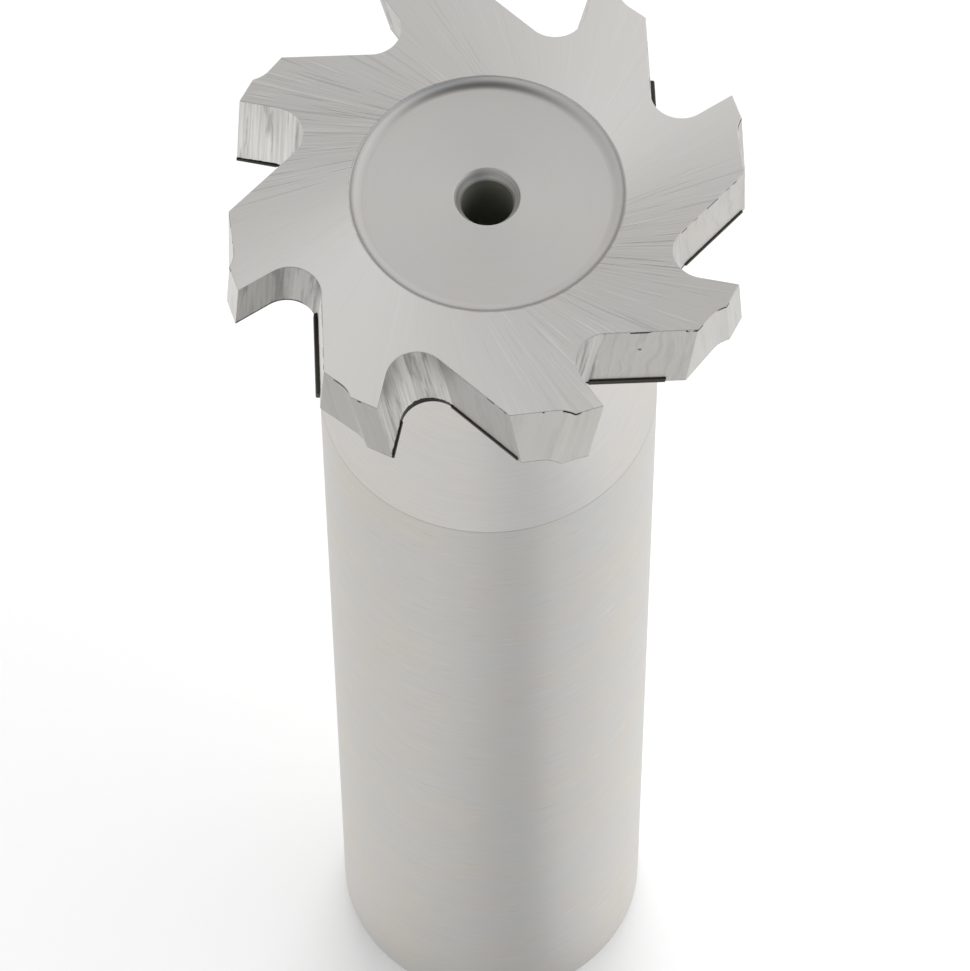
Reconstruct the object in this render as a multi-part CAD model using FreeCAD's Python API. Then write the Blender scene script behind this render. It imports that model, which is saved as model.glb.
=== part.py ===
import FreeCAD, Part

import math
import os

# Woodruff keyseat cutter, right-hand cut, ground from one piece of tool steel:
# a plain round shank, a cone down to a thin neck, and a narrow cutting head whose
# teeth lean alternately to one side and the other.
# Frame: origin at the centre of the shank's end face, +Z along the axis to the head.
# Lengths are in millimetres and angles in degrees.

# Whole cutter and shank
overall_length = 55.56
shank_diameter = 12.70
shank_end_chamfer = 0.50

# Neck between the shank and the head; its length is counted from the cone to the head
neck_diameter = 6.50
neck_length = 5.17
neck_cone_half_angle = 30.0
neck_fillet = 0.80

# Cutting head
cutter_diameter = 19.46
cutter_width = 3.175
side_clearance_angle = 0.5
recess_diameter = 9.88
recess_depth = 0.33
recess_wall_radius = 0.55

# Centre holes in both ends, which the cutter was ground on
centre_cone_angle = 60.0
centre_cone_depth = 0.43
centre_pilot_diameter = 1.90
centre_pilot_length = 3.60
centre_drill_point_angle = 118.0

# Teeth, in a section square to the axis at the middle of the head's width
tooth_count = 8
stagger_angle = 10.0
rake_angle = 10.0
gullet_depth = 2.70
gullet_root_radius = 1.12
gullet_back_angle = 21.0
primary_land_width = 1.05
primary_relief_angle = 5.0
secondary_land_drop = 0.22
secondary_corner_radius = 1.10
secondary_relief_angle = 10.0

# Stock left on the turned rim for the lands, and how far a cut runs clear of the head
rim_stock = 0.10
cut_overrun = 0.50

head_bottom = overall_length - cutter_width
head_middle = overall_length - cutter_width / 2
cutter_radius = cutter_diameter / 2
blank_radius = cutter_radius + rim_stock
clear_radius = blank_radius + cut_overrun
cutting_edge = FreeCAD.Vector(cutter_radius, 0, 0)
tooth_pitch = 360.0 / tooth_count
axis_origin = FreeCAD.Vector(0, 0, 0)
axis = FreeCAD.Vector(0, 0, 1)
coincident = 1e-6


def meridian(radius, height):
    """Point of a turned section, which lies in the XZ plane."""
    return FreeCAD.Vector(radius, 0, height)


def transverse(x, y):
    """Point of a section square to the axis."""
    return FreeCAD.Vector(x, y, 0)


def heading(plane, degrees):
    """Unit direction in a section's plane, from its first axis towards its second."""
    return plane(math.cos(math.radians(degrees)), math.sin(math.radians(degrees)))


def arc(plane, centre, radius, start, end):
    """First, middle and last point of an arc between two headings."""
    return [centre + heading(plane, turn) * radius for turn in (start, (start + end) / 2, end)]


def closed_face(path):
    """Flat face inside a path of points and arcs, joined by straight edges."""
    edges = []
    here = path[-1][-1] if isinstance(path[-1], list) else path[-1]
    for item in path:
        stops = item if isinstance(item, list) else [item]
        if here.distanceToPoint(stops[0]) > coincident:
            edges.append(Part.makeLine(here, stops[0]))
        if len(stops) == 3:
            edges.append(Part.Arc(*stops).toShape())
        here = stops[-1]
    return Part.Face(Part.Wire(edges))


def side_sink(radius):
    """How deep the hollow-ground sides of the head lie at a radius."""
    return (cutter_radius - radius) * math.tan(math.radians(side_clearance_angle))


def centre_hole(face_height, inwards):
    """Section of a centre hole, from its rim to the axis; inwards is +1 or -1 along Z."""
    pilot = centre_pilot_diameter / 2
    flare = centre_cone_depth * math.tan(math.radians(centre_cone_angle / 2))
    pilot_end = centre_cone_depth + centre_pilot_length
    drill_point = pilot / math.tan(math.radians(centre_drill_point_angle / 2))
    return [
        meridian(pilot + flare, face_height),
        meridian(pilot, face_height + inwards * centre_cone_depth),
        meridian(pilot, face_height + inwards * pilot_end),
        meridian(0, face_height + inwards * (pilot_end + drill_point)),
    ]


def shank_outline():
    """Shank from its end face to its far rim, with the cone that narrows to the neck."""
    shank = shank_diameter / 2
    neck = neck_diameter / 2
    cone_top = head_bottom - neck_length
    cone_height = (shank - neck) / math.tan(math.radians(neck_cone_half_angle))
    return [
        meridian(shank - shank_end_chamfer, 0),
        meridian(shank, shank_end_chamfer),
        meridian(shank, cone_top - cone_height),
        meridian(neck, cone_top),
    ]


def neck_fillet_arc():
    """Arc that runs from the neck into the hollow underside of the head."""
    radius = neck_diameter / 2 + neck_fillet
    drop = neck_fillet / math.cos(math.radians(side_clearance_angle))
    centre = meridian(radius, head_bottom + side_sink(radius) - drop)
    return arc(meridian, centre, neck_fillet, 180, 90 - side_clearance_angle)


def recess_outline():
    """Wall of the round recess in the head's face, curving into its floor."""
    radius = recess_diameter / 2
    floor = overall_length - recess_depth
    brim = overall_length - side_sink(radius)
    rise = min(brim - floor, recess_wall_radius)
    reach = math.sqrt(rise * (2 * recess_wall_radius - rise))
    top_heading = math.degrees(math.asin(reach / recess_wall_radius)) - 90
    centre = meridian(radius - reach, floor + recess_wall_radius)
    return [
        meridian(radius, brim),
        arc(meridian, centre, recess_wall_radius, top_heading, -90),
    ]


def turned_blank():
    """The cutter before its teeth are cut, turned about the axis."""
    rim_sink = side_sink(blank_radius)
    section = closed_face(
        centre_hole(0, +1)[::-1]
        + shank_outline()
        + [neck_fillet_arc()]
        + [meridian(blank_radius, head_bottom + rim_sink)]
        + [meridian(blank_radius, overall_length - rim_sink)]
        + recess_outline()
        + centre_hole(overall_length - recess_depth, -1)
    )
    return section.revolve(axis_origin, axis, 360)


def bearing(point):
    """Angle of a point about the axis, from +X towards +Y."""
    return math.degrees(math.atan2(point.y, point.x))


def ray_to_circle(point, direction, radius):
    """First point ahead on a ray that lies on a circle about the axis."""
    along = point.dot(direction)
    half_chord = math.sqrt(along ** 2 - point.dot(point) + radius ** 2)
    near = -along - half_chord
    return point + direction * (near if near > 0 else -along + half_chord)


def root_arc():
    """Arc at the bottom of a gullet, from the rake face round to the next tooth's back."""
    inwards = heading(transverse, 180 + rake_angle)
    off_face = heading(transverse, 90 + rake_angle)
    centre = ray_to_circle(
        cutting_edge + off_face * gullet_root_radius,
        inwards,
        cutter_radius - gullet_depth + gullet_root_radius,
    )
    return arc(transverse, centre, gullet_root_radius, 270 + rake_angle, 180 - gullet_back_angle)


def back_at(radius):
    """Point at a radius on the straight back of the next tooth."""
    return ray_to_circle(root_arc()[-1], heading(transverse, 90 - gullet_back_angle), radius)


def outer_arc(start, end):
    """Arc outside the head, which closes a cut between two bearings."""
    return arc(transverse, axis_origin, clear_radius, start, end)


def gullet_section():
    """Section of a gullet in front of a cutting edge on +X."""
    mouth = ray_to_circle(cutting_edge, heading(transverse, rake_angle), clear_radius)
    return closed_face([root_arc(), outer_arc(bearing(back_at(clear_radius)), bearing(mouth))])


def line_at(point, direction, at_bearing):
    """Point of a straight line that lies at a bearing about the axis."""
    ray = heading(transverse, at_bearing)
    return point + direction * (point.cross(ray).z / ray.cross(direction).z)


def corner_arc(step, flat_heading):
    """Hollow from the end of the primary land down to the flat of the secondary land."""
    turn = math.acos(1 - secondary_land_drop / secondary_corner_radius)
    along = heading(transverse, flat_heading) * secondary_corner_radius * math.sin(turn)
    outwards = heading(transverse, flat_heading + 90) * secondary_corner_radius * math.cos(turn)
    facing = flat_heading - 90
    centre = step + along + outwards
    return arc(transverse, centre, secondary_corner_radius, facing - math.degrees(turn), facing)


def land_section():
    """Section ground off behind a cutting edge on +X, from gullet to gullet."""
    front = bearing(back_at(cutter_radius)) / 2
    rear = front - tooth_pitch
    primary = heading(transverse, 270 - primary_relief_angle)
    step = cutting_edge + primary * primary_land_width
    flat_heading = 270 + bearing(step) - secondary_relief_angle
    corner = corner_arc(step, flat_heading)
    return closed_face([
        line_at(cutting_edge, primary, front),
        corner,
        line_at(corner[-1], heading(transverse, flat_heading), rear),
        outer_arc(rear, front),
    ])


def slanting_cut(section, lean):
    """Straight cut through the head that has its section at mid-width and leans along +Y."""
    height = cutter_width + 2 * cut_overrun
    travel = FreeCAD.Vector(0, height * math.tan(math.radians(lean)), height)
    cut = section.extrude(travel)
    cut.translate(FreeCAD.Vector(0, 0, head_middle) - travel / 2)
    return cut


def keyseat_cutter():
    """The turned blank with its gullets and lands cut, leaning left and right by turns."""
    cutter = turned_blank()
    for tooth in range(tooth_count):
        lean = stagger_angle if tooth % 2 == 0 else -stagger_angle
        for section in (gullet_section(), land_section()):
            cut = slanting_cut(section, lean)
            cut.rotate(axis_origin, axis, tooth_pitch * (tooth + 0.5))
            cutter = cutter.cut(cut)
    return cutter


os.makedirs("parts", exist_ok=True)
keyseat_cutter().exportStep("parts/keyseat_cutter.step")
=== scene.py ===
"""Looks of a woodruff keyseat cutter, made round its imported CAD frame.

The cutter is ground from one piece of tool steel: a round shank, a cone down to a thin
neck, and a narrow head whose eight teeth lean to one side and the other by turns. It
stands on the end of its shank, with +Z along its axis. Lengths are in metres.
"""

import logging
import math
from dataclasses import dataclass, replace
from enum import Enum
from functools import partial, reduce

import bmesh
import bpy
from mathutils import Matrix, Vector


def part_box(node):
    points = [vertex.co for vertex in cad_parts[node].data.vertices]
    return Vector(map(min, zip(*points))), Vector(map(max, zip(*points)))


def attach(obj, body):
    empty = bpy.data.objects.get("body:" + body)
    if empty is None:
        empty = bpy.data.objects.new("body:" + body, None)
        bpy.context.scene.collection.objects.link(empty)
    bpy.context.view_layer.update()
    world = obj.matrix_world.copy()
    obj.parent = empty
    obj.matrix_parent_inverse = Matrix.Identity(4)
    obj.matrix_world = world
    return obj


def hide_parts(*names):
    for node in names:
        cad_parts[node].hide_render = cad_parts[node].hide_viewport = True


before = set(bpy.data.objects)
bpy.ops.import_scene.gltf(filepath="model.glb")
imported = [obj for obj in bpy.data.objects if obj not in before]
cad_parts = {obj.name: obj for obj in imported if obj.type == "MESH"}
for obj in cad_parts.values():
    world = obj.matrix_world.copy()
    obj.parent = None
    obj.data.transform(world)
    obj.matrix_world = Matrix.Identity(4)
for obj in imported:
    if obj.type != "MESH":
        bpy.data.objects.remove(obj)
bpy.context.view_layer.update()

log = logging.getLogger("keyseat_cutter")

MM = 0.001
ORIGIN = Vector((0.0, 0.0, 0.0))
AXIS = Vector((0.0, 0.0, 1.0))
MERIDIAN_NORMAL = Vector((0.0, -1.0, 0.0))

NODE = "keyseat_cutter"

# How finely round forms are divided, and the angles from which edges are rounded and hard
TURN_STEPS = 192
ARC_STEP = math.radians(5.0)
SHARP_ANGLE = math.radians(20.0)
SMOOTH_ANGLE = math.radians(12.0)
WELD_DISTANCE = 0.002 * MM
BREAK_STEPS = 2

# Change of a line's noise in a millimetre along it, and half of a stain's soft edge
LINE_DRIFT = 0.25
EDGE_BLUR = 0.01
WHITE = (1.0, 1.0, 1.0, 1.0)

Mesh = bmesh.types.BMesh
Socket = bpy.types.NodeSocket
Colour = tuple[float, ...]
Span = tuple[float, float]


class Surface(Enum):
    """Surfaces of the cutter that are finished differently; the value is the mesh slot."""

    SHANK = 0
    CONE = 1
    END = 2
    SIDE = 3
    RECESS_WALL = 4
    RECESS_FLOOR = 5
    CENTRE = 6
    PILOT = 7
    RAKE = 8
    BACK = 9
    LAND = 10
    BURR = 11


class Lean(Enum):
    """Way in which a tooth leans: the sign of the slope of its edge along +Y."""

    FORWARD = 1.0
    BACKWARD = -1.0


@dataclass(frozen=True)
class PaintedShadeAndBurr:
    """Painted light and shade of one wall of the teeth, and the size of its black line.

    The shade is painted light or shade that stands in for the light and shadow the wall reflects,
    and is added to a tone of 1; the burr is a factor on the height of the black line along the
    lower edge.
    """

    shade: float = 0.0
    burr: float = 1.0


@dataclass(frozen=True)
class Burr:
    """Black bar along the lower edge of a straight wall.

    Its start and end are counted along the wall, out of the gullet on a back and into it
    on a rake face. It stands out from the wall by its thickness.
    """

    surface: Surface
    tooth: int
    start: float
    end: float
    height: float
    thickness: float


PLAIN_WALL_SHADE_AND_BURR = PaintedShadeAndBurr()
BURRS = (
    Burr(Surface.BACK, 0, 0.2 * MM, 2.8 * MM, 0.35 * MM, 0.15 * MM),
    Burr(Surface.RAKE, 3, 0.0 * MM, 1.5 * MM, 0.12 * MM, 0.04 * MM),
    Burr(Surface.BACK, 4, -0.35 * MM, 3.0 * MM, 0.50 * MM, 0.15 * MM),
    Burr(Surface.RAKE, 5, 0.0 * MM, 1.5 * MM, 0.12 * MM, 0.05 * MM),
    Burr(Surface.BACK, 5, -0.1 * MM, 3.1 * MM, 0.16 * MM, 0.05 * MM),
    Burr(Surface.BACK, 6, -0.1 * MM, 2.65 * MM, 0.22 * MM, 0.06 * MM),
    Burr(Surface.BACK, 7, 0.0 * MM, 3.1 * MM, 0.16 * MM, 0.05 * MM),
)
# Painted light and shade of some walls, by tooth: lighter and darker tones for the floor's light
# and shadow seen in them, and factors on their black lines
PAINTED_SHADES_AND_BURRS = {
    (Surface.RAKE, 3): PaintedShadeAndBurr(shade=0.24),
    (Surface.RAKE, 4): PaintedShadeAndBurr(shade=-0.24),
    (Surface.RAKE, 5): PaintedShadeAndBurr(shade=-0.04, burr=1.5),
    (Surface.BACK, 4): PaintedShadeAndBurr(shade=0.30, burr=0.2),
    (Surface.BACK, 5): PaintedShadeAndBurr(shade=-0.24, burr=0.2),
    (Surface.BACK, 6): PaintedShadeAndBurr(shade=0.10, burr=0.2),
    (Surface.BACK, 7): PaintedShadeAndBurr(shade=0.10, burr=0.2),
    (Surface.LAND, 4): PaintedShadeAndBurr(shade=0.15),
    (Surface.LAND, 5): PaintedShadeAndBurr(shade=-0.27),
}


@dataclass(frozen=True)
class Arc:
    """Stop of an outline that is an arc, turned about a centre by an angle."""

    centre: Vector
    turn: float


Outline = list[Vector | Arc]


def heading(angle: float) -> Vector:
    """Unit direction in the XY plane, from +X towards +Y."""
    return Vector((math.cos(angle), math.sin(angle), 0.0))


def on_meridian(radius: float, height: float) -> Vector:
    """Point of a turned outline, in the XZ plane."""
    return Vector((radius, 0.0, height))


def scribe(mesh: Mesh, outline: Outline, normal: Vector) -> None:
    """Scribe an open outline of straight lines and arcs into an empty mesh.

    Args:
        mesh: Mesh that takes the outline.
        outline: Stops of the outline, of which the first is a point.
        normal: Direction that the arcs turn about.
    """
    tip = mesh.verts.new(outline[0])
    for stop in outline[1:]:
        if isinstance(stop, Arc):
            steps = math.ceil(abs(stop.turn) / ARC_STEP)
            drawn = bmesh.ops.spin(
                mesh,
                geom=[tip],
                cent=stop.centre,
                axis=normal,
                dvec=ORIGIN,
                angle=stop.turn,
                steps=steps,
            )
            tip = drawn["geom_last"][0]
        else:
            tip = bmesh.ops.extrude_vert_indiv(mesh, verts=[tip])["verts"][0]
            tip.co = stop


def join(whole: Mesh, part: Mesh) -> None:
    """Move the mesh of a part into the whole.

    Args:
        whole: Mesh that grows.
        part: Mesh that is used up.
    """
    carrier = bpy.data.meshes.new("carrier")
    part.to_mesh(carrier)
    part.free()
    whole.from_mesh(carrier)
    bpy.data.meshes.remove(carrier)


def turn_round(whole: Mesh, surface: Surface, outline: Outline) -> None:
    """Turn an outline about the axis and join the round surface to the whole.

    Args:
        whole: Mesh that grows.
        surface: Finish of the turned stretch.
        outline: Stops of the outline, in the XZ plane.
    """
    part = bmesh.new()
    scribe(part, outline, MERIDIAN_NORMAL)
    bmesh.ops.spin(
        part,
        geom=part.verts[:] + part.edges[:],
        cent=ORIGIN,
        axis=AXIS,
        dvec=ORIGIN,
        angle=math.tau,
        steps=TURN_STEPS,
        use_merge=True,
    )
    for face in part.faces:
        face.material_index = surface.value
    join(whole, part)


def round_edges(mesh: Mesh, edges: list[bmesh.types.BMEdge], offset: float) -> None:
    """Round edges off, by an offset on each side of an edge."""
    bmesh.ops.bevel(
        mesh,
        geom=edges,
        offset=offset,
        offset_type="OFFSET",
        segments=BREAK_STEPS,
        profile=0.5,
        affect="EDGES",
        clamp_overlap=True,
        material=-1,
    )


def show(name: str, data: bpy.types.ID) -> bpy.types.Object:
    """Put a mesh, lamp or camera in the scene.

    Args:
        name: Name of the object.
        data: What it shows.

    Returns:
        The object, at the origin.
    """
    shown = bpy.data.objects.new(name, data)
    bpy.context.scene.collection.objects.link(shown)
    return shown


@dataclass(frozen=True)
class CentreHole:
    """Hole that a grinding centre sits in: a cone, a drilled pilot and its drill point."""

    cone_angle: float = math.radians(60.0)
    cone_depth: float = 0.43 * MM
    pilot_diameter: float = 1.90 * MM
    pilot_length: float = 3.60 * MM
    point_angle: float = math.radians(118.0)

    @property
    def rim_radius(self) -> float:
        """Radius of the cone at the face that it is sunk into."""
        return self.pilot_diameter / 2 + self.cone_depth * math.tan(self.cone_angle / 2)

    def turn(self, whole: Mesh, face_height: float, inwards: float) -> None:
        """Turn the hole.

        Args:
            whole: Mesh that grows.
            face_height: Height of the face that the hole is sunk into.
            inwards: +1 or -1, the way that the hole goes along Z.
        """
        pilot = self.pilot_diameter / 2
        bottom = face_height + inwards * (self.cone_depth + self.pilot_length)
        tip = bottom + inwards * pilot / math.tan(self.point_angle / 2)
        rim = on_meridian(self.rim_radius, face_height)
        throat = on_meridian(pilot, face_height + inwards * self.cone_depth)
        turn_round(whole, Surface.CENTRE, [rim, throat])
        turn_round(whole, Surface.PILOT, [throat, on_meridian(pilot, bottom), on_meridian(0, tip)])


@dataclass(frozen=True)
class Head:
    """Disc of the cutting head, without its teeth: its sides are ground hollow."""

    overall_length: float
    diameter: float = 19.46 * MM
    width: float = 3.175 * MM
    side_clearance: float = math.radians(0.5)
    recess_diameter: float = 9.88 * MM
    recess_depth: float = 0.33 * MM
    recess_wall_radius: float = 0.55 * MM

    @property
    def underside(self) -> float:
        """Height of the underside at the head's full radius."""
        return self.overall_length - self.width

    @property
    def middle(self) -> float:
        """Height of the middle of the head's width."""
        return self.overall_length - self.width / 2

    @property
    def recess_floor(self) -> float:
        """Height of the recess's floor."""
        return self.overall_length - self.recess_depth

    def side_sink(self, radius: float) -> float:
        """How deep the hollow sides lie at a radius."""
        return (self.diameter / 2 - radius) * math.tan(self.side_clearance)

    def turn_recess(self, whole: Mesh, hole: CentreHole) -> None:
        """Turn the recess in the head's face, with its curved wall, out to its rim.

        Args:
            whole: Mesh that grows.
            hole: Centre hole in the recess's floor.
        """
        rim = self.recess_diameter / 2
        brim = self.overall_length - self.side_sink(rim)
        rise = brim - self.recess_floor
        reach = math.sqrt(rise * (2 * self.recess_wall_radius - rise))
        centre = on_meridian(rim - reach, self.recess_floor + self.recess_wall_radius)
        wall = [on_meridian(rim, brim), Arc(centre, -math.asin(reach / self.recess_wall_radius))]
        turn_round(whole, Surface.RECESS_WALL, wall)
        foot = on_meridian(rim - reach, self.recess_floor)
        hole_rim = on_meridian(hole.rim_radius, self.recess_floor)
        turn_round(whole, Surface.RECESS_FLOOR, [foot, hole_rim])


@dataclass(frozen=True)
class Shank:
    """Shank with its end face, and the cone and neck that lead up to the head."""

    diameter: float = 12.70 * MM
    end_chamfer: float = 0.50 * MM
    neck_diameter: float = 6.50 * MM
    neck_length: float = 5.17 * MM
    cone_half_angle: float = math.radians(30.0)
    neck_fillet: float = 0.80 * MM

    def turn(self, whole: Mesh, head: Head, hole: CentreHole) -> None:
        """Turn everything below the head.

        Args:
            whole: Mesh that grows.
            head: Head that the neck runs into.
            hole: Centre hole in the end face.
        """
        radius = self.diameter / 2
        hole_rim = on_meridian(hole.rim_radius, 0)
        end_rim = on_meridian(radius - self.end_chamfer, 0)
        chamfer_rim = on_meridian(radius, self.end_chamfer)
        far_rim = on_meridian(radius, self.rim_height(head))
        cone_top = on_meridian(self.neck_diameter / 2, head.underside - self.neck_length)
        turn_round(whole, Surface.END, [hole_rim, end_rim, chamfer_rim])
        turn_round(whole, Surface.SHANK, [chamfer_rim, far_rim])
        turn_round(whole, Surface.CONE, [far_rim, cone_top, *self.neck_outline(head)])

    def rim_height(self, head: Head) -> float:
        """Height of the shank's far rim, where the cone starts."""
        cone_height = (self.diameter - self.neck_diameter) / 2 / math.tan(self.cone_half_angle)
        return head.underside - self.neck_length - cone_height

    def neck_outline(self, head: Head) -> Outline:
        """Work out the neck above the cone, with the fillet under the head.

        Args:
            head: Head that the neck runs into.

        Returns:
            Stops of the outline, from the fillet's foot to its end on the underside.
        """
        outer = self.neck_diameter / 2 + self.neck_fillet
        drop = self.neck_fillet / math.cos(head.side_clearance)
        height = head.underside + head.side_sink(outer) - drop
        centre = on_meridian(outer, height)
        foot = on_meridian(outer - self.neck_fillet, height)
        return [foot, Arc(centre, -(math.pi / 2 + head.side_clearance))]


@dataclass(frozen=True)
class Teeth:
    """Teeth of the head, as one section that leans and is repeated round the axis.

    The section lies at the middle of the head's width and has its cutting edge on +X. Its
    two ends run on by the spare length, to where the neighbours trim them off, and the
    burrs start above the head's underside by their gap.
    """

    edge_radius: float
    count: int = 8
    stagger: float = math.radians(10.0)
    rake: float = math.radians(10.0)
    gullet_depth: float = 2.70 * MM
    root_radius: float = 1.12 * MM
    back_angle: float = math.radians(21.0)
    primary_land: float = 1.05 * MM
    primary_relief: float = math.radians(5.0)
    land_drop: float = 0.22 * MM
    corner_radius: float = 1.10 * MM
    secondary_relief: float = math.radians(10.0)
    spare: float = 5.0 * MM
    burr_gap: float = 0.03 * MM
    burr_rounding: float = 0.4
    pattern_shift: float = 13.0

    @property
    def pitch(self) -> float:
        """Angle from one tooth to the next."""
        return math.tau / self.count

    @property
    def cutting_edge(self) -> Vector:
        """Tip of the section."""
        return Vector((self.edge_radius, 0.0, 0.0))

    @property
    def step(self) -> Vector:
        """Point where the primary land ends."""
        return self.cutting_edge + heading(-math.pi / 2 - self.primary_relief) * self.primary_land

    @property
    def flat_heading(self) -> float:
        """Direction of the secondary land, away from the cutting edge."""
        step_bearing = math.atan2(self.step.y, self.step.x)
        return step_bearing - math.pi / 2 - self.secondary_relief

    @property
    def corner(self) -> Arc:
        """Hollow corner of the secondary land, from its flat up to the step."""
        turn = math.acos(1 - self.land_drop / self.corner_radius)
        along = heading(self.flat_heading) * math.sin(turn)
        outwards = heading(self.flat_heading + math.pi / 2) * math.cos(turn)
        return Arc(self.step + (along + outwards) * self.corner_radius, -turn)

    @property
    def flat_start(self) -> Vector:
        """Point where the hollow corner runs out into the secondary land's flat."""
        facing = heading(self.flat_heading - math.pi / 2)
        return self.corner.centre + facing * self.corner_radius

    @property
    def back_heading(self) -> float:
        """Direction of the next tooth's back, out of the gullet."""
        return math.pi / 2 - self.back_angle

    @property
    def root(self) -> Arc:
        """Round root of the gullet, from the rake face to the next tooth's back."""
        off_face = self.cutting_edge + heading(math.pi / 2 + self.rake) * self.root_radius
        inwards = heading(math.pi + self.rake)
        depth = self.edge_radius - self.gullet_depth + self.root_radius
        along = off_face.dot(inwards)
        reach = -along - math.sqrt(along**2 - off_face.length_squared + depth**2)
        return Arc(off_face + inwards * reach, -(math.pi / 2 + self.rake + self.back_angle))

    @property
    def back_start(self) -> Vector:
        """Point where the gullet's root runs out into the next tooth's back."""
        return self.root.centre + heading(math.pi - self.back_angle) * self.root_radius

    def outlines(self) -> dict[Surface, Outline]:
        """Work out the section: the lands, the rake face with the root, and the back."""
        root_start = self.root.centre + heading(self.rake - math.pi / 2) * self.root_radius
        return {
            Surface.LAND: [
                self.flat_start + heading(self.flat_heading) * self.spare,
                self.flat_start,
                self.corner,
                self.cutting_edge,
            ],
            Surface.RAKE: [self.cutting_edge, root_start, self.root],
            Surface.BACK: [
                self.back_start,
                self.back_start + heading(self.back_heading) * self.spare,
            ],
        }

    def sweep(self, lean: Lean) -> Vector:
        """Direction in which a leaning cut runs through the head."""
        return Vector((0.0, lean.value * math.tan(self.stagger), 1.0))

    def lean(self, index: int) -> Lean:
        """Way in which the tooth of a number leans."""
        return Lean.BACKWARD if index % 2 else Lean.FORWARD

    def seat(self, head: Head, index: int) -> Matrix:
        """Place of the tooth of a number, from the section's own."""
        turned = Matrix.Rotation(self.pitch * (index + 0.5), 4, "Z")
        return Matrix.Translation(AXIS * head.middle) @ turned

    def shear(self, index: int) -> Matrix:
        """Slant that makes the tooth of a number lean."""
        return Matrix.Shear("XY", 4, self.sweep(self.lean(index)).xy)

    def trim(self, tooth: Mesh, along: float, point: Vector, lean: Lean, turned: float) -> None:
        """Trim a tooth at a flat wall of its neighbour.

        Args:
            tooth: Mesh of the tooth, in its own frame.
            along: Direction of the neighbour's wall in the neighbour's section.
            point: Point of that wall.
            lean: Way in which the neighbour leans.
            turned: Angle from this tooth to its neighbour.
        """
        to_neighbour = Matrix.Rotation(turned, 3, "Z")
        facing = heading(along).cross(self.sweep(lean))
        if facing.dot(ORIGIN - point) > 0:
            facing.negate()
        bmesh.ops.bisect_plane(
            tooth,
            geom=tooth.verts[:] + tooth.edges[:] + tooth.faces[:],
            plane_co=to_neighbour @ point,
            plane_no=to_neighbour @ facing,
            clear_outer=True,
        )

    def mill(self, whole: Mesh, head: Head) -> None:
        """Mill the walls of every tooth round the head.

        Args:
            whole: Mesh that grows.
            head: Head that the teeth are cut into.
        """
        for index in range(self.count):
            other = self.lean(index + 1)
            tooth = bmesh.new()
            for surface, outline in self.outlines().items():
                join(tooth, self.wall(surface, outline, head.width, index))
            bmesh.ops.transform(tooth, matrix=self.shear(index), verts=tooth.verts[:])
            self.trim(tooth, self.flat_heading, self.flat_start, other, self.pitch)
            self.trim(tooth, self.back_heading, self.back_start, other, -self.pitch)
            for vert in tooth.verts:
                rim = head.width / 2 - head.side_sink(vert.co.xy.length)
                vert.co.z = math.copysign(rim, vert.co.z)
            bmesh.ops.transform(tooth, matrix=self.seat(head, index), verts=tooth.verts[:])
            join(whole, tooth)

    def raise_burrs(self, whole: Mesh, head: Head) -> None:
        """Raise the burrs on the walls.

        Args:
            whole: Mesh of the cutter, which keeps its own faces.
            head: Head that the teeth are cut into.
        """
        for burr in BURRS:
            if burr.surface is Surface.BACK:
                start, along = self.back_start, heading(self.back_heading)
                outwards = heading(-self.back_angle)
            else:
                start, along = self.cutting_edge, heading(math.pi + self.rake)
                outwards = heading(math.pi / 2 + self.rake)
            bar = bmesh.new()
            bmesh.ops.create_cube(bar, size=1.0)
            size = Vector((burr.end - burr.start, 2 * burr.thickness, burr.height))
            bmesh.ops.scale(bar, vec=size, verts=bar.verts[:])
            round_edges(bar, bar.edges[:], self.burr_rounding * burr.thickness)
            axes = Matrix((along, outwards, AXIS)).transposed().to_4x4()
            middle = start + along * (burr.start + burr.end) / 2
            middle += AXIS * (burr.height / 2 - head.width / 2 + self.burr_gap)
            place = self.seat(head, burr.tooth) @ self.shear(burr.tooth)
            place @= Matrix.Translation(middle) @ axes
            bmesh.ops.transform(bar, matrix=place, verts=bar.verts[:])
            bmesh.ops.recalc_face_normals(bar, faces=bar.faces[:])
            for face in bar.faces:
                face.material_index = Surface.BURR.value
            join(whole, bar)

    def wall(self, surface: Surface, outline: Outline, width: float, index: int) -> Mesh:
        """Raise a wall on an outline, over the width of the head.

        Args:
            surface: Finish of the wall.
            outline: Stops of the outline, at the middle of the width.
            width: Width of the head.
            index: Number of the tooth, which shifts the pattern of its marks and picks its painted
                shade.

        Returns:
            Mesh of the wall. Its UV map has the place of each point in the section, in
            millimetres, and a face attribute holds the wall's painted shade and the factor on its
            black line.
        """
        wall = bmesh.new()
        scribe(wall, outline, AXIS)
        bmesh.ops.translate(wall, vec=AXIS * (-width / 2), verts=wall.verts[:])
        raised = bmesh.ops.extrude_edge_only(wall, edges=wall.edges[:])["geom"]
        top = [item for item in raised if isinstance(item, bmesh.types.BMVert)]
        bmesh.ops.translate(wall, vec=AXIS * width, verts=top)
        footprint = wall.loops.layers.uv.new("footprint")
        shade_and_burr_layer = wall.faces.layers.float_vector.new("painted_shade_and_burr")
        painted_shade_and_burr = PAINTED_SHADES_AND_BURRS.get((surface, index), PLAIN_WALL_SHADE_AND_BURR)
        shift = Vector((self.pattern_shift * index, 0.0))
        for face in wall.faces:
            face.material_index = surface.value
            face[shade_and_burr_layer] = (painted_shade_and_burr.shade, painted_shade_and_burr.burr, 0.0)
            for corner in face.loops:
                corner[footprint].uv = corner.vert.co.xy / MM + shift
        return wall


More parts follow.
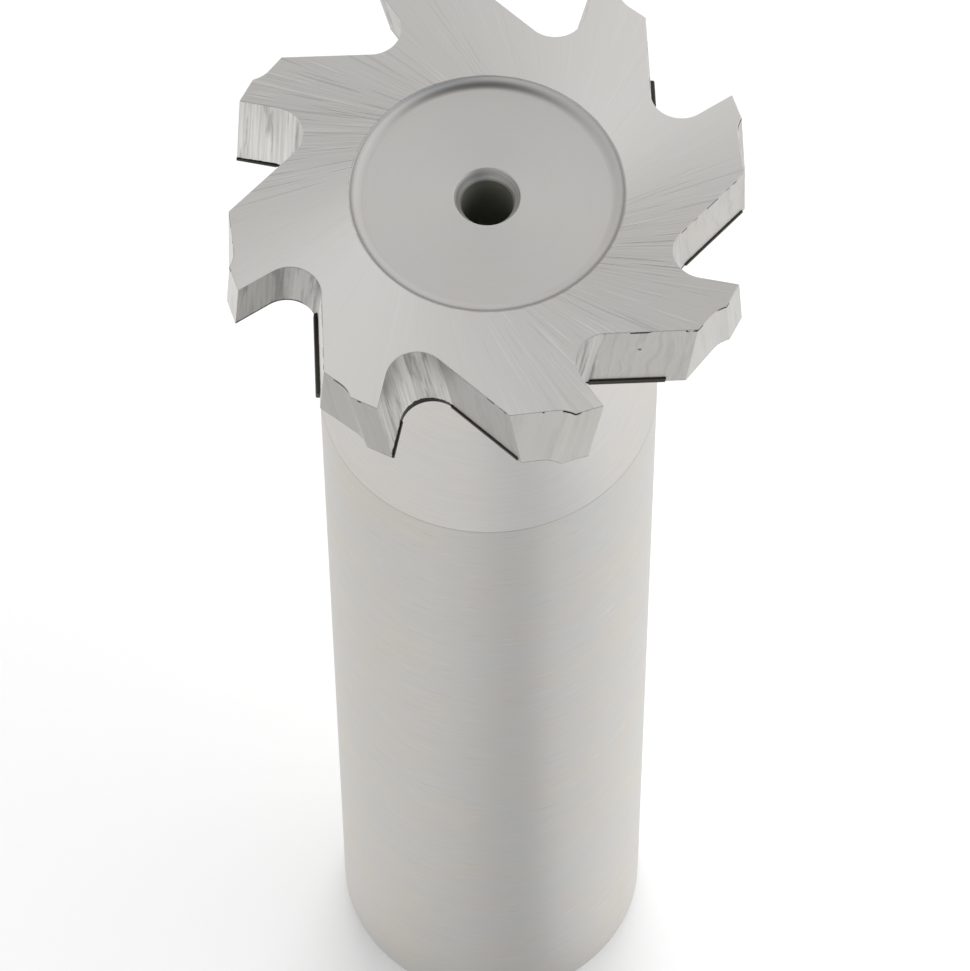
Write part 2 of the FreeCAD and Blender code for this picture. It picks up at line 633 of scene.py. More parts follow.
@dataclass(frozen=True)
class Net:
    """Net of nodes: adds them to a node tree and joins them."""

    tree: bpy.types.NodeTree

    @classmethod
    def of(cls, owner: bpy.types.Material | bpy.types.World) -> "Net":
        """Clear the node tree of a material or world and start its net.

        Args:
            owner: Material or world.

        Returns:
            Net of its empty node tree.
        """
        owner.use_nodes = True
        owner.node_tree.nodes.clear()
        return cls(owner.node_tree)

    def add(
        self, kind: str, inputs: dict[int | str, object] | None = None, **settings: object
    ) -> bpy.types.Node:
        """Add a node.

        Args:
            kind: Type of the node, without its ShaderNode.
            inputs: Value of each input, or the output that it is joined to.
            settings: Settings of the node.

        Returns:
            The node.
        """
        node = self.tree.nodes.new(f"ShaderNode{kind}")
        for name, value in settings.items():
            setattr(node, name, value)
        for key, value in (inputs or {}).items():
            if isinstance(value, Socket):
                self.tree.links.new(value, node.inputs[key])
            else:
                node.inputs[key].default_value = value
        return node

    def math(self, operation: str, *values: object, clamp: bool = False) -> Socket:
        """Work out a number from one to three others, and keep it from 0 to 1 if clamped."""
        inputs = dict(enumerate(values))
        return self.add("Math", inputs, operation=operation, use_clamp=clamp).outputs[0]

    def times(self, *factors: object) -> Socket:
        """Multiply two or more numbers."""
        return reduce(partial(self.math, "MULTIPLY"), factors)

    def vector(self, operation: str, *values: object) -> Socket:
        """Work out a vector from one to three others, or the number that a length is."""
        node = self.add("VectorMath", dict(enumerate(values)), operation=operation)
        return node.outputs["Value" if operation in ("LENGTH", "DOT_PRODUCT") else "Vector"]

    def scale(self, vector: Socket, factor: float) -> Socket:
        """Stretch a pattern's place by one factor."""
        return self.vector("MULTIPLY", vector, (factor, factor, factor))

    def upright(self, height: object) -> Socket:
        """Make a vector along Z from a number."""
        return self.add("CombineXYZ", {"Z": height}).outputs[0]

    def place(self) -> Socket:
        """Find the place on the piece, in millimetres."""
        return self.scale(self.add("TexCoord").outputs["Object"], 1 / MM)

    def height(self) -> Socket:
        """Find the height of the place on the piece, in millimetres."""
        return self.parts(self.place())["Z"]

    def grey(self, level: object) -> Socket:
        """Make a vector with the same number on all three axes."""
        return self.add("CombineXYZ", {"X": level, "Y": level, "Z": level}).outputs[0]

    def parts(self, vector: Socket) -> bpy.types.NodeOutputs:
        """Take a vector apart into its X, Y and Z."""
        return self.add("SeparateXYZ", {0: vector}).outputs

    def blend(self, share: object, first: object, second: object) -> Socket:
        """Mix two colours by the share of the second."""
        return self.add("Mix", {0: share, 6: first, 7: second}, data_type="RGBA").outputs[2]

    def noise(
        self,
        place: Socket,
        factor: float,
        shift: object = None,
        detail: float = 2.0,
        roughness: float = 0.5,
    ) -> Socket:
        """Add a noise from 0 to 1.

        Args:
            place: Place that the noise is read at.
            factor: Features in a unit of the place.
            shift: Vector that is added to the scaled place, if any.
            detail: Number of finer layers.
            roughness: Strength of each finer layer.

        Returns:
            Output with the noise.
        """
        where = self.scale(place, factor)
        if shift is not None:
            where = self.vector("ADD", where, shift)
        inputs = {"Vector": where, "Scale": 1.0, "Detail": detail, "Roughness": roughness}
        return self.add("TexNoise", inputs).outputs["Fac"]

    def ramp(
        self, value: object, start: float, end: float, low: float = 0.0, high: float = 1.0
    ) -> Socket:
        """Map a range of a number smoothly to another range, and hold it past its ends."""
        inputs = {0: value, 1: start, 2: end, 3: low, 4: high}
        return self.add("MapRange", inputs, interpolation_type="SMOOTHSTEP").outputs[0]

    def spread(self, noise: Socket, low: float, high: float, reach: float = 0.2) -> Socket:
        """Spread a noise from low to high, over the reach on each side of a half."""
        return self.ramp(noise, 0.5 - reach, 0.5 + reach, low, high)

    def scratches(self, noise: Socket, start: float, end: float) -> Socket:
        """Pick 1 in light scratches and -1 in dark ones, at the two ends of a noise."""
        light = self.ramp(noise, 0.5 - end, 0.5 - start, 1.0, 0.0)
        return self.math("SUBTRACT", light, self.ramp(noise, 0.5 + start, 0.5 + end))


@dataclass(frozen=True)
class Marks:
    """Marks that a tool leaves on steel, as outputs of nodes.

    The tone is a factor on the colour, and on the head's sides and walls it also holds painted
    light and shade. The relief is from 0 to 1 and across is the direction that runs over the
    lines, in which they scatter light.
    """

    tone: Socket
    relief: Socket
    across: Socket


@dataclass(frozen=True)
class Finish:
    """Bare tool steel with the marks of the tool that made its surface.

    The blotches are large and faint, and by turns a little warmer and cooler. Their size
    is in millimetres.
    """

    colour: Colour = (0.60, 0.59, 0.57)
    roughness: float = 0.42
    anisotropy: float = 0.8
    relief_height: float = 0.0004 * MM
    tone_spread: float = 0.05
    blotch_size: float = 3.0
    blotch_spread: float = 0.008

    def marks(self, net: Net) -> Marks:
        """Draw the tool's marks; each kind of finish has its own."""
        raise NotImplementedError

    def stain(self, net: Net, colour: Socket) -> Socket:
        """Return the colour with any stain of this finish; plain steel has none."""
        return colour

    def material(self, name: str) -> bpy.types.Material:
        """Make the material.

        Args:
            name: Name of the material.

        Returns:
            Material with its nodes.
        """
        material = bpy.data.materials.new(name)
        net = Net.of(material)
        marks = self.marks(net)
        blotch = net.noise(net.place(), 1 / self.blotch_size, detail=3.0)
        warmth = net.spread(blotch, 0.0, 1.0)
        more, less = 1 + self.blotch_spread, 1 - self.blotch_spread
        tint = net.blend(warmth, (less, 1.0, more, 1.0), (more, 1.0, less, 1.0))
        colour = net.vector("MULTIPLY", tint, self.colour)
        colour = net.vector("MULTIPLY", colour, net.grey(marks.tone))
        bump = net.add("Bump", {"Distance": self.relief_height, "Height": marks.relief})
        steel = net.add(
            "BsdfPrincipled",
            {
                "Base Color": self.stain(net, colour),
                "Metallic": 1.0,
                "Roughness": self.roughness,
                "Anisotropic": self.anisotropy,
                "Tangent": marks.across,
                "Normal": bump.outputs[0],
            },
        )
        net.add("OutputMaterial", {"Surface": steel.outputs[0]})
        return material


@dataclass(frozen=True)
class RoundMarks(Finish):
    """Marks that run round the axis, from turning or cylindrical grinding.

    They are narrow along the axis, or on a flat face along the radius, and much longer
    round the axis. A scratch tone above 0 adds single wider scratches, light and dark. A
    rim height above 0 adds a thin line of the rim's tone there. Lengths are in
    millimetres.
    """

    line_width: float = 0.05
    line_length: float = 1.6
    radial: bool = False
    rim_height: float = 0.0
    rim_width: float = 0.05
    rim_tone: float = 1.0
    scratch_tone: float = 0.0
    scratch_width: float = 0.14
    scratch_length: float = 1.3
    scratch_span: Span = (0.16, 0.24)

    def marks(self, net: Net) -> Marks:
        """Draw lines round the axis, single scratches and the rim's line.

        Args:
            net: Node tree of the material.

        Returns:
            Marks of the lines.
        """
        flat = net.vector("MULTIPLY", net.place(), (1.0, 1.0, 0.0))
        way = net.vector("LENGTH", flat) if self.radial else net.height()
        steep = net.upright(net.math("DIVIDE", way, self.line_width))
        lines = net.noise(flat, 1 / self.line_length, steep, detail=3.0)
        tone = net.spread(lines, 1 - self.tone_spread, 1 + self.tone_spread)
        if self.scratch_tone:
            steep = net.upright(net.math("DIVIDE", way, self.scratch_width))
            noise = net.noise(flat, 1 / self.scratch_length, steep, detail=1.0)
            scratches = net.scratches(noise, *self.scratch_span)
            tone = net.math("MULTIPLY_ADD", scratches, self.scratch_tone, tone)
        if self.rim_height:
            off_rim = net.math("ABSOLUTE", net.math("SUBTRACT", way, self.rim_height))
            line = net.ramp(off_rim, self.rim_width, 2 * self.rim_width, self.rim_tone, 1.0)
            tone = net.times(tone, line)
        across = net.vector("NORMALIZE", flat) if self.radial else net.upright(1.0)
        return Marks(tone, lines, across)


@dataclass(frozen=True)
class SwirlMarks(Finish):
    """Marks of a cup wheel on the sides of the head.

    Each line is straight and passes the axis at the same distance, so it leans away from the
    radius, more so near the middle. The lines are deepest at one bearing, and at another the steel
    is painted lighter as a painted sheen, and both also at the opposite ones. A thin ragged line
    runs round the recess. Lengths are in millimetres and counts are lines in a radian.
    """

    relief_height: float = 0.024 * MM
    tone_spread: float = 0.016
    pass_distance: float = 2.35
    coarse_count: float = 16.0
    coarse_share: float = 0.6
    fine_count: float = 85.0
    scratch_count: float = 46.0
    scratch_span: Span = (0.10, 0.20)
    scratch_tone: float = 0.08
    scratch_relief: float = 0.3
    deepest: float = math.radians(157.0)
    deep_span: Span = (0.2, 0.95)
    shallow_share: float = 0.22
    patch_count: float = 3.5
    patch_span: Span = (0.35, 0.6)
    patch_depth: Span = (0.55, 1.1)
    # Painted sheen: the bearing where the steel is painted lightest, and by how much
    painted_sheen_bearing: float = math.radians(39.0)
    painted_sheen_share: float = 0.08
    rim_radius: float = 0.0
    rim_width: float = 0.05
    rim_tone: float = 0.75
    raggedness: float = 0.25
    ragged_count: float = 2.5

    def marks(self, net: Net) -> Marks:
        """Draw straight lines that pass the axis at a distance.

        Args:
            net: Node tree of the material.

        Returns:
            Marks of the lines.
        """
        flat = net.vector("MULTIPLY", net.place(), (1.0, 1.0, 0.0))
        radius = net.vector("LENGTH", flat)
        share = net.math("DIVIDE", self.pass_distance, radius, clamp=True)
        turn = {"Vector": flat, "Angle": net.math("ARCSINE", share)}
        turned = net.add("VectorRotate", turn, rotation_type="Z_AXIS").outputs[0]
        along = net.vector("NORMALIZE", turned)
        drift = net.upright(net.times(radius, LINE_DRIFT))
        coarse = net.noise(along, self.coarse_count, drift)
        fine = net.noise(along, self.fine_count, drift, detail=3.0)
        fine = net.times(fine, 1 - self.coarse_share)
        ground = net.math("MULTIPLY_ADD", coarse, self.coarse_share, fine)
        noise = net.noise(along, self.scratch_count, drift, detail=1.0)
        scratches = net.scratches(noise, *self.scratch_span)
        depth = self.depth(net, along)
        relief = net.math("MULTIPLY_ADD", scratches, self.scratch_relief, ground)
        relief = net.times(net.math("SUBTRACT", relief, 0.5), depth)
        tone = net.spread(ground, -self.tone_spread, self.tone_spread)
        tone = net.math("ADD", tone, net.times(scratches, self.scratch_tone))
        tone = net.math("MULTIPLY_ADD", tone, depth, 1.0)
        # Painted sheen: lighter where the lines run near one bearing, darker where they run across
        # it
        near = self.nearness(net, along, self.painted_sheen_bearing)
        painted_sheen = net.math("MULTIPLY_ADD", near, 2.0, -1.0)
        painted_sheen = net.math("MULTIPLY_ADD", painted_sheen, self.painted_sheen_share, 1.0)
        tone = net.times(tone, painted_sheen, self.rim(net, radius))
        across = net.vector("CROSS_PRODUCT", along, AXIS)
        return Marks(tone, relief, across)

    def nearness(self, net: Net, along: Socket, bearing: float) -> Socket:
        """Tell from 0 to 1 how near the lines are to a bearing or to its opposite."""
        facing = net.vector("DOT_PRODUCT", along, heading(bearing))
        return net.times(facing, facing)

    def depth(self, net: Net, along: Socket) -> Socket:
        """Work out how deep the lines are, by their bearing and in patches.

        Args:
            net: Node tree of the material.
            along: Direction of the line through a place.

        Returns:
            Output with a factor on the relief and the tone.
        """
        near = self.nearness(net, along, self.deepest)
        depth = net.ramp(near, *self.deep_span, self.shallow_share, 1.0)
        patches = net.noise(along, self.patch_count, detail=1.0)
        patches = net.ramp(patches, *self.patch_span, *self.patch_depth)
        return net.times(depth, patches)

    def rim(self, net: Net, radius: Socket) -> Socket:
        """Draw the thin ragged line round the recess.

        Args:
            net: Node tree of the material.
            radius: Distance of a place from the axis.

        Returns:
            Output with a factor on the tone.
        """
        ragged = net.noise(net.place(), self.ragged_count, detail=3.0)
        least, most = 1 - self.raggedness, 1 + self.raggedness
        width = net.spread(ragged, least * self.rim_width, most * self.rim_width, reach=0.15)
        off_rim = net.math("ABSOLUTE", net.math("SUBTRACT", radius, self.rim_radius))
        inside = net.math("SUBTRACT", width, off_rim)
        return net.ramp(inside, -EDGE_BLUR, 3 * EDGE_BLUR, 1.0, self.rim_tone)


@dataclass(frozen=True)
class MilledMarks(Finish):
    """Marks of the tool that made the gullets and lands, along its way through the head.

    The walls keep a black line along their lower edge, with a few gaps, and short dashes along the
    upper one, and some walls carry a painted shade, lighter or darker, for the light and shadow
    they reflect. The waviness bends the milled lines. Lengths are in millimetres, counts are
    features in a millimetre and spans are stretches of a noise.
    """

    relief_height: float = 0.004 * MM
    line_width: float = 0.07
    streak_width: float = 0.35
    streak_span: Span = (0.50, 0.66)
    streak_roughness: float = 0.65
    streak_tone: float = 0.6
    lower_edge: float = 0.0
    upper_edge: float = 0.0
    burr_height: float = 0.2
    burr_unevenness: float = 0.12
    slow_count: float = 0.6
    notch_count: float = 6.0
    gap_count: float = 0.35
    gap_shift: tuple[float, ...] = (2.0, 5.0, 0.0)
    gap_span: Span = (0.34, 0.36)
    gap_share: float = 0.15
    dash_height: float = 0.09
    dash_count: float = 1.3
    dash_span: Span = (0.52, 0.57)
    waviness: float = 0.0
    wave_count: float = 0.9
    pit_spacing: float = 0.9
    pit_radius: float = 0.05
    pit_span: Span = (0.45, 0.9)
    pit_darkness: float = 0.7
    black: Colour = (0.025, 0.022, 0.02)

    def marks(self, net: Net) -> Marks:
        """Draw lines and streaks across the head's width.

        Args:
            net: Node tree of the material.

        Returns:
            Marks of the lines.
        """
        footprint = net.add("UVMap", uv_map="footprint").outputs[0]
        if self.waviness:
            slow = net.noise(net.place(), self.wave_count, detail=1.0)
            wave = net.math("MULTIPLY_ADD", slow, 2 * self.waviness, -self.waviness)
            waves = net.add("CombineXYZ", {"X": wave, "Y": wave}).outputs[0]
            footprint = net.vector("ADD", footprint, waves)
        drift = net.upright(net.times(net.height(), LINE_DRIFT))
        lines = net.noise(footprint, 1 / self.line_width, drift, detail=3.0)
        streaks = net.noise(footprint, 1 / self.streak_width, drift, 4.0, self.streak_roughness)
        dark = net.ramp(streaks, *self.streak_span, 1.0, self.streak_tone)
        tone = net.spread(lines, 1 - self.tone_spread, 1 + self.tone_spread)
        tone = net.times(tone, dark)
        # Painted light and shade of the wall, read from the mesh
        tone = net.math("MULTIPLY_ADD", tone, self.painted_shade_and_burr(net)["X"], tone)
        normal = net.add("NewGeometry").outputs["True Normal"]
        across = net.vector("CROSS_PRODUCT", normal, AXIS)
        return Marks(tone, lines, across)

    def painted_shade_and_burr(self, net: Net) -> bpy.types.NodeOutputs:
        """Read each wall's painted shade as X and the factor on its black line as Y, from the
        mesh.
        """
        return net.parts(net.add("Attribute", attribute_name="painted_shade_and_burr").outputs["Vector"])

    def burr(self, net: Net) -> Socket:
        """Find the black line along the lower edge, which is ragged and has a few gaps.

        Args:
            net: Node tree of the material.

        Returns:
            Output that is 1 on the line and 0 off it.
        """
        place = net.place()
        above = net.math("SUBTRACT", net.height(), self.lower_edge)
        uneven = self.burr_unevenness * self.burr_height
        least, most = self.burr_height - uneven, self.burr_height + uneven
        slow = net.noise(place, self.slow_count, detail=1.0)
        edge = net.spread(slow, least, most, reach=0.15)
        ragged = net.noise(place, self.notch_count, detail=3.0)
        notch = net.spread(ragged, -uneven, uneven)
        stretch = net.noise(place, self.gap_count, self.gap_shift)
        present = net.ramp(stretch, *self.gap_span, self.gap_share, 1.0)
        edge = net.times(net.math("ADD", edge, notch), present, self.painted_shade_and_burr(net)["Y"])
        return net.ramp(net.math("SUBTRACT", edge, above), 0.0, 2 * EDGE_BLUR)

    def dashes(self, net: Net) -> Socket:
        """Find the short thin dashes along the upper edge.

        Args:
            net: Node tree of the material.

        Returns:
            Output that is 1 on a dash and 0 off them.
        """
        below = net.math("SUBTRACT", self.upper_edge, net.height())
        stretch = net.noise(net.place(), self.dash_count)
        edge = net.ramp(stretch, *self.dash_span, -5 * EDGE_BLUR, self.dash_height)
        return net.ramp(net.math("SUBTRACT", edge, below), -EDGE_BLUR, EDGE_BLUR)

    def pits(self, net: Net) -> Socket:
        """Find the small pits that are scattered over the wall.

        Args:
            net: Node tree of the material.

        Returns:
            Output with the darkness in a pit, and 0 off them.
        """
        inputs = {"Vector": net.place(), "Scale": 1 / self.pit_spacing, "Randomness": 1.0}
        spots = net.add("TexVoronoi", inputs).outputs
        distance = net.times(spots["Distance"], self.pit_spacing)
        chance = net.parts(spots["Color"])["X"]
        radius = net.ramp(chance, *self.pit_span, -2 * EDGE_BLUR, self.pit_radius)
        inside = net.math("SUBTRACT", radius, distance)
        return net.ramp(inside, -EDGE_BLUR, 2 * EDGE_BLUR, 0.0, self.pit_darkness)

    def stain(self, net: Net, colour: Socket) -> Socket:
        """Blacken the dark lines along the edges and the pits.

        Args:
            net: Node tree of the material.
            colour: Colour of the steel.

        Returns:
            Output with the stained colour.
        """
        dark_edge_lines = net.math("MAXIMUM", self.burr(net), self.dashes(net))
        dark = net.math("MAXIMUM", dark_edge_lines, self.pits(net))
        return net.blend(dark, colour, (*self.black, 1.0))


@dataclass(frozen=True)
class KeyseatCutter:
    """The whole cutter, as one closed mesh that has a finish for each surface."""

    head: Head
    teeth: Teeth
    shank: Shank = Shank()
    hole: CentreHole = CentreHole()
    edge_break: float = 0.03 * MM

    @classmethod
    def in_frame(cls) -> "KeyseatCutter":
        """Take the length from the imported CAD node.

        Returns:
            The cutter.
        """
        low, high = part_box(NODE)
        head = Head(overall_length=high.z - low.z)
        return cls(head=head, teeth=Teeth(edge_radius=head.diameter / 2))

    def finishes(self) -> dict[Surface, Finish]:
        """Give each surface its finish, in the order of the mesh slots."""
        milled = MilledMarks(
            lower_edge=self.head.underside / MM, upper_edge=self.head.overall_length / MM
        )
        return {
            Surface.SHANK: RoundMarks(
                colour=(0.62, 0.605, 0.575),
                anisotropy=0.9,
                tone_spread=0.024,
                blotch_spread=0.018,
                rim_height=self.shank.rim_height(self.head) / MM,
                rim_tone=0.80,
                scratch_tone=0.05,
            ),
            Surface.CONE: RoundMarks(
                colour=(0.665, 0.647, 0.618), roughness=0.40, tone_spread=0.02
            ),
            Surface.END: RoundMarks(radial=True),
            Surface.SIDE: SwirlMarks(rim_radius=self.head.recess_diameter / 2 / MM),
            # The recess wall's colour is a little darker than the floor's: painted shade on the
            # wall of the recess
            Surface.RECESS_WALL: RoundMarks(
                colour=(0.475, 0.465, 0.45), anisotropy=0.0, roughness=0.34, tone_spread=0.02
            ),
            Surface.RECESS_FLOOR: RoundMarks(
                colour=(0.515, 0.505, 0.49), radial=True, anisotropy=0.3, tone_spread=0.01
            ),
            Surface.CENTRE: RoundMarks(
                colour=(0.56, 0.55, 0.525), tone_spread=0.25, line_width=0.07, line_length=3.0
            ),
            Surface.PILOT: RoundMarks(colour=(0.32, 0.32, 0.28), roughness=0.5),
            Surface.RAKE: replace(
                milled, colour=(0.57, 0.56, 0.535), tone_spread=0.12, dash_height=-0.02
            ),
            Surface.BACK: replace(
                milled,
                colour=(0.505, 0.492, 0.466),
                tone_spread=0.03,
                streak_tone=0.9,
                burr_height=0.26,
                waviness=0.2,
                pit_radius=0.08,
            ),
            Surface.LAND: replace(
                milled,
                colour=(0.575, 0.561, 0.530),
                tone_spread=0.02,
                streak_tone=0.92,
                burr_height=0.05,
            ),
            Surface.BURR: RoundMarks(colour=(0.065, 0.060, 0.050), roughness=0.55, anisotropy=0.0),
        }

    def mesh(self) -> Mesh:
        """Build the closed mesh.

        Returns:
            Mesh with its surfaces in their slots and its sharp edges broken.
        """
        whole = bmesh.new()
        self.shank.turn(whole, self.head, self.hole)
        self.hole.turn(whole, 0.0, 1.0)
        self.hole.turn(whole, self.head.recess_floor, -1.0)
        self.head.turn_recess(whole, self.hole)
        self.teeth.mill(whole, self.head)
        bmesh.ops.remove_doubles(whole, verts=whole.verts[:], dist=WELD_DISTANCE)
        self.close_sides(whole)
        bmesh.ops.recalc_face_normals(whole, faces=whole.faces[:])
        self.break_edges(whole)
        self.teeth.raise_burrs(whole, self.head)
        return whole

    def close_sides(self, whole: Mesh) -> None:
        """Fill the two sides of the head, from the round rim inside to the teeth.

        Args:
            whole: Mesh that is open there and nowhere else.
        """
        for upper in (True, False):
            rims = [
                edge
                for edge in whole.edges
                if edge.is_boundary and (edge.verts[0].co.z > self.head.middle) == upper
            ]
            filled = bmesh.ops.triangle_fill(whole, use_beauty=True, edges=rims, normal=AXIS)
            for item in filled["geom"]:
                if isinstance(item, bmesh.types.BMFace):
                    item.material_index = Surface.SIDE.value

    def break_edges(self, whole: Mesh) -> None:
        """Take the sharpness off every edge, as a light stoning does.

        Args:
            whole: Closed mesh.
        """
        sharp = [edge for edge in whole.edges if edge.calc_face_angle(0.0) > SHARP_ANGLE]
        round_edges(whole, sharp, self.edge_break)

    def build(self) -> None:
        """Build the piece, dress it and seat it on the frame."""
        whole = self.mesh()
        open_edges = sum(not edge.is_manifold for edge in whole.edges)
        for face in whole.faces:
            face.smooth = True
        for edge in whole.edges:
            edge.smooth = edge.calc_face_angle(0.0) < SMOOTH_ANGLE
        data = bpy.data.meshes.new("ground_cutter")
        whole.to_mesh(data)
        whole.free()
        piece = show("ground_cutter", data)
        for surface, finish in self.finishes().items():
            data.materials.append(finish.material(f"steel_{surface.name.lower()}"))
        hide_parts(NODE)
        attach(piece, "root")
        log.info("%s: %d faces, %d open edges", piece.name, len(data.polygons), open_edges)


@dataclass(frozen=True)
class PhotoCamera:
    """Camera at the photograph's viewing angle, as fitted to the cutter's outlines."""

    image_height: int = 971
    focal_pixels: float = 6259.2
    sensor: float = 36.0
    elevation: float = math.radians(60.867)
    roll: float = math.radians(-0.428)
    turn: float = math.radians(-0.407)
    place: Vector = Vector((-0.157 * MM, -117.998 * MM, 245.732 * MM))

    def build(self) -> None:
        """Set up the camera."""
        lens = bpy.data.cameras.new("camera")
        lens.sensor_width = self.sensor
        lens.lens = self.sensor * self.focal_pixels / self.image_height
        lens.clip_start = 0.01
        lens.clip_end = 50.0
        camera = show("camera", lens)
        tilt = Matrix.Rotation(math.pi / 2 - self.elevation, 4, "X")
        turn = Matrix.Rotation(self.turn, 4, "Z")
        roll = Matrix.Rotation(self.roll, 4, "Z")
        camera.matrix_world = turn @ Matrix.Translation(self.place) @ tilt @ roll
        bpy.context.scene.camera = camera
        log.info("camera: lens %.1f mm", lens.lens)


@dataclass(frozen=True)
class Wedge:
    """Range of bearings, counted from straight in front of the cutter towards the right."""

    middle: float
    to_left: float
    to_right: float

    def closeness(self, net: Net, direction: Socket) -> Socket:
        """Tell how close a direction is to the middle of the wedge.

        Args:
            net: Node tree.
            direction: Direction, of any length and slope.

        Returns:
            Output from 0 at the wedge's two ends to 1 at its middle.
        """
        ahead = net.vector("DOT_PRODUCT", direction, heading(self.middle - math.pi / 2))
        aside = net.vector("DOT_PRODUCT", direction, heading(self.middle))
        turn = net.math("ARCTAN2", aside, ahead)
        to_left = net.ramp(turn, -self.to_left, 0.0)
        to_right = net.ramp(turn, 0.0, self.to_right, 1.0, 0.0)
        return net.times(to_left, to_right)


@dataclass(frozen=True)
class SlitAndPaintedShadow:
    """Dark upright gap in the front of the tent, and a painted shadow on the floor before it.

    The gap fades out between two heights of a direction of length 1. The painted shadow in the
    floor's colour fades out between two distances from the axis, and is weaker at the cutter's
    foot. A level is a factor on the light or colour where the whole gap or painted shadow is seen.
    """

    gap: Wedge = Wedge(math.radians(30.0), math.radians(46.0), math.radians(46.0))
    level: float = 0.5
    tint: Colour = (0.85, 0.95, 1.10, 1.0)
    top_fade: Span = (0.3, 0.6)
    # Painted shadow on the floor: its wedge, darkness, tint and fade
    painted_shadow_wedge: Wedge = Wedge(math.radians(18.0), math.radians(40.0), math.radians(22.0))
    painted_shadow_level: float = 0.66
    painted_shadow_tint: Colour = (0.99, 0.995, 1.0, 1.0)
    painted_shadow_fade: Span = (0.035, 0.150)
    foot_share: float = 0.4
    foot_reach: float = 0.035

    def shade(self, net: Net, level: object, share: Socket, dark: float, tint: Colour) -> Socket:
        """Shade a grey, and tint it, by the share of the gap that is seen."""
        grey = net.times(level, net.math("MULTIPLY_ADD", share, dark - 1, 1.0))
        return net.vector("MULTIPLY", net.blend(share, WHITE, tint), net.grey(grey))

    def tent(self, net: Net, direction: Socket, level: Socket) -> Socket:
        """Darken the tent's light in a direction.

        Args:
            net: Node tree of the world.
            direction: Direction, of length 1.
            level: Light of the tent without the gap.

        Returns:
            Output with the colour of the light.
        """
        low = net.ramp(net.parts(direction)["Z"], *self.top_fade, 1.0, 0.0)
        share = net.times(self.gap.closeness(net, direction), low)
        return self.shade(net, level, share, self.level, self.tint)

    def floor(self, net: Net, place: Socket, level: float) -> Socket:
        """Paint a shadow into the floor's colour at a place, in a wedge in front of the cutter.

        Args:
            net: Node tree of the floor's paint.
            place: Place on the floor.
            level: Grey of the floor without the painted shadow.

        Returns:
            Output with the colour.
        """
        distance = net.vector("LENGTH", place)
        near = net.ramp(distance, *self.painted_shadow_fade, 1.0, 0.0)
        foot = net.ramp(distance, 0.0, self.foot_reach, self.foot_share, 1.0)
        share = net.times(self.painted_shadow_wedge.closeness(net, place), near, foot)
        return self.shade(net, level, share, self.painted_shadow_level, self.painted_shadow_tint)


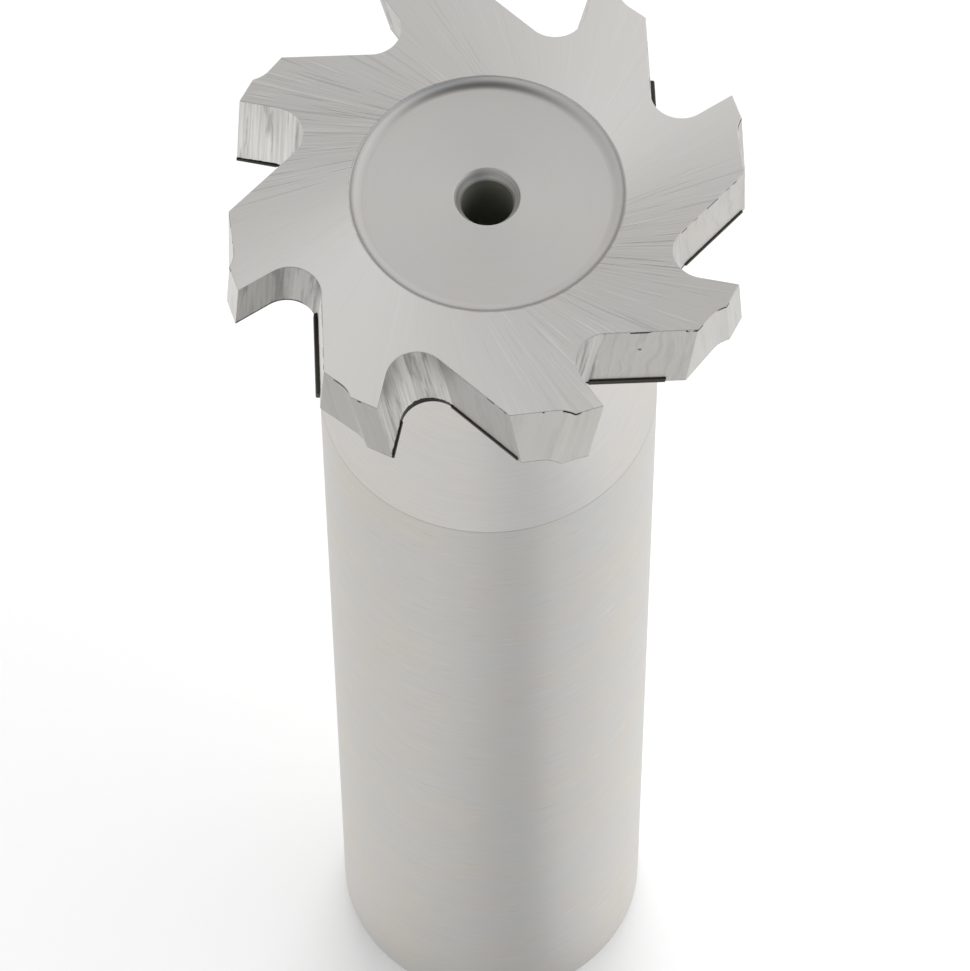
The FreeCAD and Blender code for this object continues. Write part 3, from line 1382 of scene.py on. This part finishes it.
@dataclass(frozen=True)
class Studio:
    """White light tent with an opening above the camera, and a lamp behind for the floor.

    The wall is a little brighter at the upper right, behind and on both sides. The floor shows its
    own white to rays that see it directly, more of it on the right near the cutter, a painted
    light that fades out between two distances from the axis.
    """

    wall_level: float = 1.0
    from_upper_right: float = 0.47
    from_behind: float = 0.03
    aside: float = 0.04
    opening_level: float = 0.10
    opening_aim: Vector = Vector((0.08, -0.40, 0.91))
    opening_fade: Span = (math.radians(12.0), math.radians(48.0))
    lamp_size: float = 0.5
    lamp_power: float = 3.4
    lamp_place: Vector = Vector((0.04, 0.60, 0.78))
    floor_radius: float = 5.0
    floor_colour: float = 0.80
    floor_white: float = 0.225
    floor_painted_light: float = 0.24
    painted_light_fade: Span = (0.05, 0.30)
    slit_and_painted_shadow: SlitAndPaintedShadow = SlitAndPaintedShadow()

    def build(self) -> None:
        """Set up the tent, the lamp and the floor."""
        self.hang_tent()
        self.hang_lamp()
        self.lay_floor()
        log.info("studio: tent, lamp and floor")

    def seen_directly(self, net: Net) -> Socket:
        """Tell rays from the camera, and those through gloss and glass, from the light.

        Args:
            net: Node tree.

        Returns:
            Output that is 1 for such a ray and 0 for the others.
        """
        path = net.add("LightPath").outputs
        gloss = net.math("ADD", path["Is Glossy Ray"], path["Is Transmission Ray"])
        return net.math("ADD", path["Is Camera Ray"], gloss, clamp=True)

    def hang_tent(self) -> None:
        """Light the scene with the tent's wall, as the world."""
        world = bpy.data.worlds.new("tent")
        bpy.context.scene.world = world
        net = Net.of(world)
        direction = net.add("TexCoord").outputs["Generated"]
        parts = net.parts(direction)
        sideways = parts["X"]
        high_right = net.times(sideways, net.math("MAXIMUM", parts["Z"], 0.0))
        behind = net.times(parts["Y"], self.from_behind)
        slope = net.math("MULTIPLY_ADD", high_right, self.from_upper_right, behind)
        sides = net.times(sideways, sideways, self.aside)
        wall = net.math("ADD", net.math("ADD", self.wall_level, slope), sides)
        toward = net.vector("DOT_PRODUCT", direction, self.opening_aim.normalized())
        off_aim = net.math("ARCCOSINE", toward)
        shut = net.ramp(off_aim, *self.opening_fade, self.opening_level, 1.0)
        light = self.slit_and_painted_shadow.tent(net, direction, net.times(wall, shut))
        shader = net.add("Background", {"Color": light, "Strength": 1.0})
        net.add("OutputWorld", {"Surface": shader.outputs[0]})

    def hang_lamp(self) -> None:
        """Hang the lamp behind, which only lights the floor and is no glare on the steel."""
        light = bpy.data.lights.new("lamp", "AREA")
        light.shape = "SQUARE"
        light.size = self.lamp_size
        light.energy = self.lamp_power
        lamp = show("lamp", light)
        lamp.location = self.lamp_place
        lamp.rotation_euler = self.lamp_place.to_track_quat("Z", "Y").to_euler()
        lamp.visible_glossy = False

    def lay_floor(self) -> None:
        """Lay the pale floor that the cutter stands on."""
        mesh = bmesh.new()
        bmesh.ops.create_circle(mesh, cap_ends=True, segments=64, radius=self.floor_radius)
        data = bpy.data.meshes.new("floor")
        mesh.to_mesh(data)
        mesh.free()
        data.materials.append(self.floor_paint())
        show("floor", data)

    def floor_paint(self) -> bpy.types.Material:
        """Make the floor's matt pale paint, with a painted shadow in its colour and its own white,
        painted stronger on the right.

        Returns:
            Material with its nodes.
        """
        material = bpy.data.materials.new("floor")
        net = Net.of(material)
        place = net.add("TexCoord").outputs["Object"]
        # Painted shadow: the floor's colour is darker in a wedge in front of the cutter
        colour = self.slit_and_painted_shadow.floor(net, place, self.floor_colour)
        matt = net.add("BsdfDiffuse", {"Color": colour})
        # Painted light: the floor's own white is stronger on the right, fading out away from the
        # cutter
        sideways = net.parts(net.vector("NORMALIZE", place))["X"]
        distance = net.vector("LENGTH", place)
        slope = net.ramp(distance, *self.painted_light_fade, self.floor_painted_light, 0.0)
        slope = net.math("MULTIPLY_ADD", sideways, slope, 1.0)
        lift = net.times(self.seen_directly(net), self.floor_white, slope)
        white = net.add("Emission", {"Color": WHITE, "Strength": lift})
        whole = net.add("AddShader", {0: matt.outputs[0], 1: white.outputs[0]})
        net.add("OutputMaterial", {"Surface": whole.outputs[0]})
        return material


def main() -> None:
    """Build the cutter, its studio and its camera."""
    logging.basicConfig(level=logging.INFO, format="%(name)s: %(message)s")
    bpy.context.scene.view_settings.view_transform = "Standard"
    KeyseatCutter.in_frame().build()
    Studio().build()
    PhotoCamera().build()


if __name__ == "__main__":
    main()
